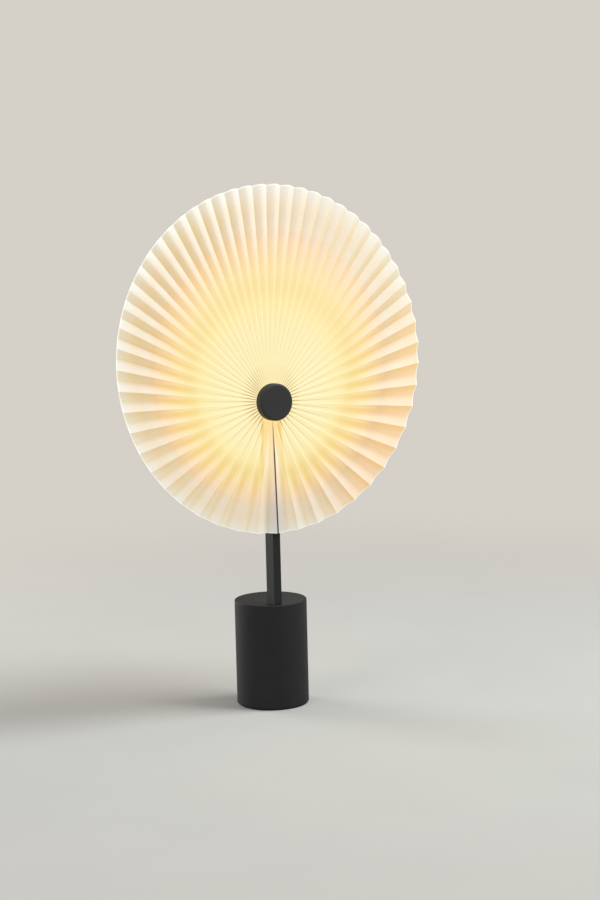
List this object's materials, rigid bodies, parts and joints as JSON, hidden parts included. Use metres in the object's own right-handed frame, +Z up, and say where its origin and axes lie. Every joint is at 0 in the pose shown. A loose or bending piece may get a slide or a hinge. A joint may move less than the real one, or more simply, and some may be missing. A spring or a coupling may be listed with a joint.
{
  "type": "portable table lamp",
  "caption": "Cordless table lamp with a weighted round base, a flat swivelling stem and a round pleated fan shade on a hub, lit from behind.",
  "frame": {"origin": "on the table under the middle of the round base", "axes": "+Z up along the base's axis, -Y the way that the shade faces, +X to the right seen from the front"},
  "size_m": [0.3307, 0.0745, 0.5033],
  "materials": {
    "can_coat": "satin black powder coat",
    "bar_coat": "satin black powder coat",
    "cap_coat": "black anodised, fine matte",
    "head_plastic": "fine-textured black",
    "key_plastic": "smooth matte black",
    "inner_plastic": "plain moulded",
    "hub_plastic": "plain moulded, off-white",
    "rubber": "matte",
    "steel": "plain zinc-plated",
    "ballast": "as cast",
    "cell_wrap": "blue shrink wrap",
    "circuit_board": "green solder mask",
    "light_board": "white solder mask",
    "led": "phosphor yellow",
    "opal": "opal, satin",
    "clear_rod": "clear moulded rod",
    "wire": "smooth insulation",
    "shade_sheet": "stiff translucent sheet, matte",
    "strip_board": "plain, matte",
    "magnet": "nickel-plated"
  },
  "bodies": {
    "base": {"base_shell": "can_coat", "foot_pad": "rubber", "bottom_plate": "can_coat", "plate_screws": "steel", "ballast_disc": "ballast", "battery_holder": "inner_plastic", "battery_cells": "cell_wrap", "cell_tabs": "steel", "control_board": "circuit_board", "board_screws": "steel", "usb_socket": "steel", "charge_light_pipe": "clear_rod", "tact_switch": "inner_plastic", "pivot_bush": "inner_plastic", "base_leads": "wire"},
    "stem": {"stem_bar": "bar_coat", "pivot_post": "steel", "friction_washer": "inner_plastic", "pivot_nut": "steel", "stem_wires": "wire", "head_housing": "head_plastic", "head_screws": "steel", "led_board": "light_board", "leds": "led", "diffuser_ring": "opal", "hub_spindle": "steel"},
    "shade": {"pleated_shade": "shade_sheet", "seam_strips": "strip_board", "seam_magnets": "magnet", "shade_collar": "hub_plastic"},
    "cap": {"hub_cap": "cap_coat", "cap_magnet": "magnet"},
    "button": {"power_button": "key_plastic", "switch_plunger": "inner_plastic"}
  },
  "joints": [
    {"name": "stem_swivel", "type": "hinge", "parent": "base", "child": "stem", "pos_m": [-0.0091, -0.0199, 0.1031], "axis": [0, 0, 1], "range_deg": [-90, 90]},
    {"name": "shade_pull", "type": "slide", "parent": "stem", "child": "shade", "axis": [0, -0.9987, 0.0506], "range_m": [0, 0.03]},
    {"name": "cap_pull", "type": "slide", "parent": "shade", "child": "cap", "axis": [0, -0.9987, 0.0506], "range_m": [0, 0.02]},
    {"name": "button_press", "type": "slide", "parent": "base", "child": "button", "axis": [0, -1, 0], "range_m": [0, 0.0012], "stiffness_N_per_m": 900, "springref_m": -0.0006}
  ]
}
